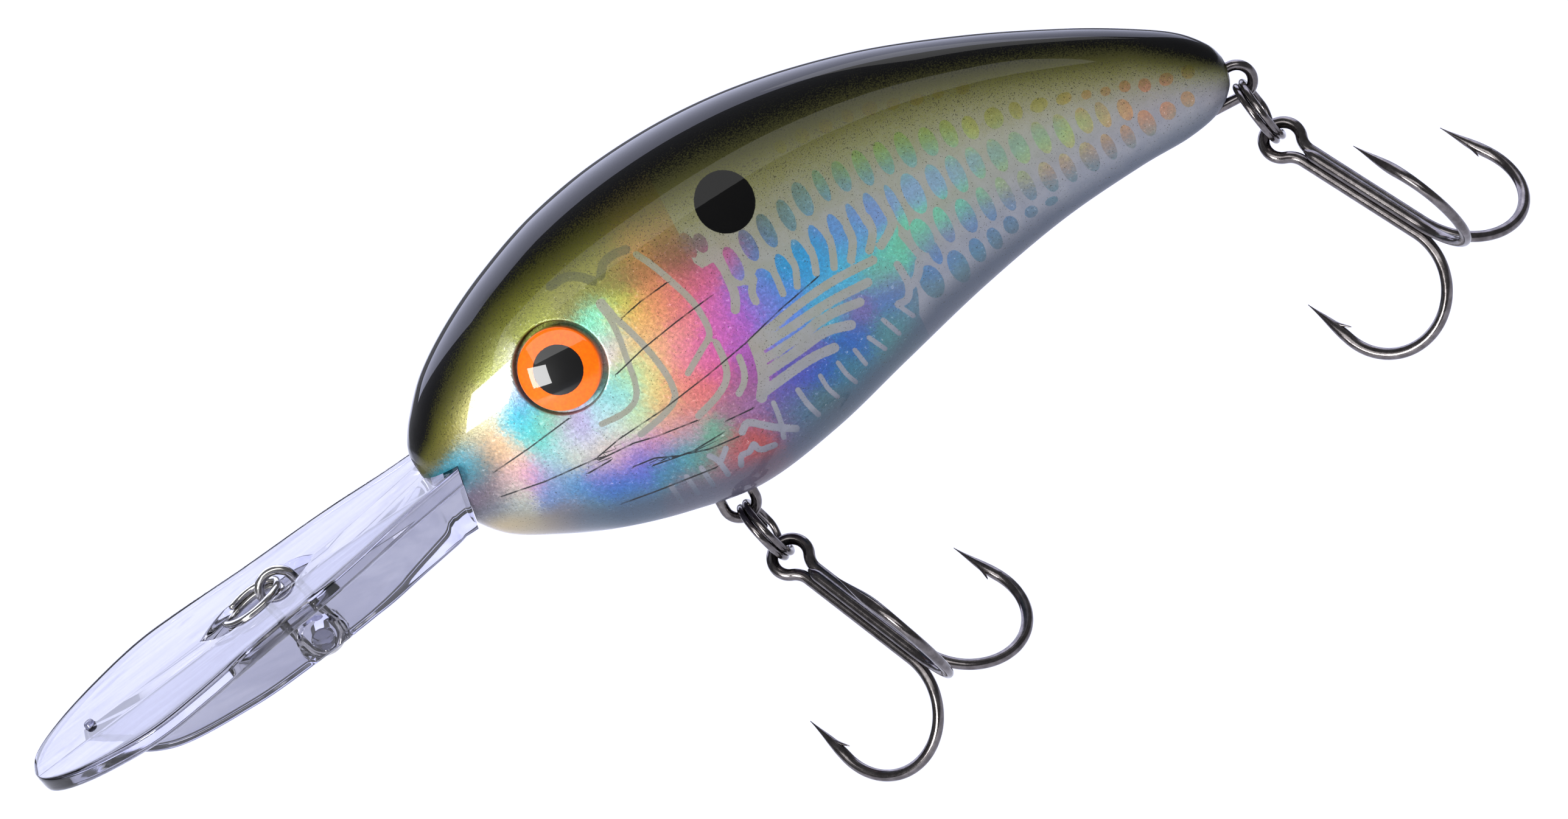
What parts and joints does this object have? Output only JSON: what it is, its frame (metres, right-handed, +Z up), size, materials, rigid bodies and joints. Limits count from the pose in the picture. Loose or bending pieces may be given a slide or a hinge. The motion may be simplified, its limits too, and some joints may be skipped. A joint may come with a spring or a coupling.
{
  "type": "crankbait lure",
  "caption": "Deep-diving fishing plug with a hollow two-part body, a clear keeled diving lip, split rings and swinging treble hooks.",
  "frame": {"origin": "middle of the line tie's upper eye, where the angler's line pulls", "axes": "+X along the body from the nose to the tail, +Z up through the back, -Y out of the left flank"},
  "size_m": [0.1401, 0.034, 0.0595],
  "materials": {
    "foil_body": "holographic foil under clear lacquer, black back and grey belly",
    "eye_paint": "gloss orange with a black pupil",
    "clear_lip": "clear moulded polycarbonate with a faint violet tint",
    "nickel_wire": "bright nickel",
    "black_nickel": "dark polished nickel",
    "ballast_metal": "dull cast metal",
    "rattle_steel": "bright steel"
  },
  "bodies": {
    "lure": {"left_body_half": "foil_body", "right_body_half": "foil_body", "left_eye": "eye_paint", "right_eye": "eye_paint", "diving_lip": "clear_lip", "lip_cross_pin": "clear_lip", "line_tie_wire": "nickel_wire", "belly_hook_hanger": "black_nickel", "tail_hook_hanger": "black_nickel", "ballast_slug": "ballast_metal"},
    "line_ring": {"line_split_ring": "nickel_wire"},
    "belly_ring": {"belly_split_ring": "black_nickel"},
    "belly_treble": {"belly_double_hook": "black_nickel", "belly_single_hook": "black_nickel", "belly_hook_braze": "black_nickel"},
    "tail_ring": {"tail_split_ring": "black_nickel"},
    "tail_treble": {"tail_double_hook": "black_nickel", "tail_single_hook": "black_nickel", "tail_hook_braze": "black_nickel"},
    "rattle_1": {"rattle_ball_1": "rattle_steel"},
    "rattle_2": {"rattle_ball_2": "rattle_steel"},
    "rattle_3": {"rattle_ball_3": "rattle_steel"}
  },
  "joints": [
    {"name": "line_ring_hinge", "type": "hinge", "parent": "lure", "child": "line_ring", "pos_m": [0.0002, 0, 0.00019], "axis": [0, 1, 0], "range_deg": [0, 150]},
    {"name": "belly_ring_swing", "type": "hinge", "parent": "lure", "child": "belly_ring", "pos_m": [0.03949, 0, -0.01432], "axis": [0.9636, 0, 0.2672], "range_deg": [-35, 75]},
    {"name": "belly_treble_swing", "type": "hinge", "parent": "belly_ring", "child": "belly_treble", "pos_m": [0.04067, -0.00204, -0.01854], "axis": [0.1129, 0.9063, -0.4072], "range_deg": [-40, 60]},
    {"name": "tail_ring_swing", "type": "hinge", "parent": "lure", "child": "tail_ring", "pos_m": [0.09516, 0, -0.00123], "axis": [0.9848, 0, 0.1736], "range_deg": [-20, 70]},
    {"name": "tail_treble_swing", "type": "hinge", "parent": "tail_ring", "child": "tail_treble", "pos_m": [0.09592, -0.00204, -0.00555], "axis": [0.0734, 0.9063, -0.4162], "range_deg": [-50, 50]},
    {"name": "rattle_slide_1", "type": "slide", "parent": "lure", "child": "rattle_1", "axis": [1, 0, 0], "range_m": [0, 0.003]},
    {"name": "rattle_slide_2", "type": "slide", "parent": "lure", "child": "rattle_2", "axis": [1, 0, 0], "range_m": [0, 0.003]},
    {"name": "rattle_slide_3", "type": "slide", "parent": "lure", "child": "rattle_3", "axis": [1, 0, 0], "range_m": [0, 0.003]}
  ]
}
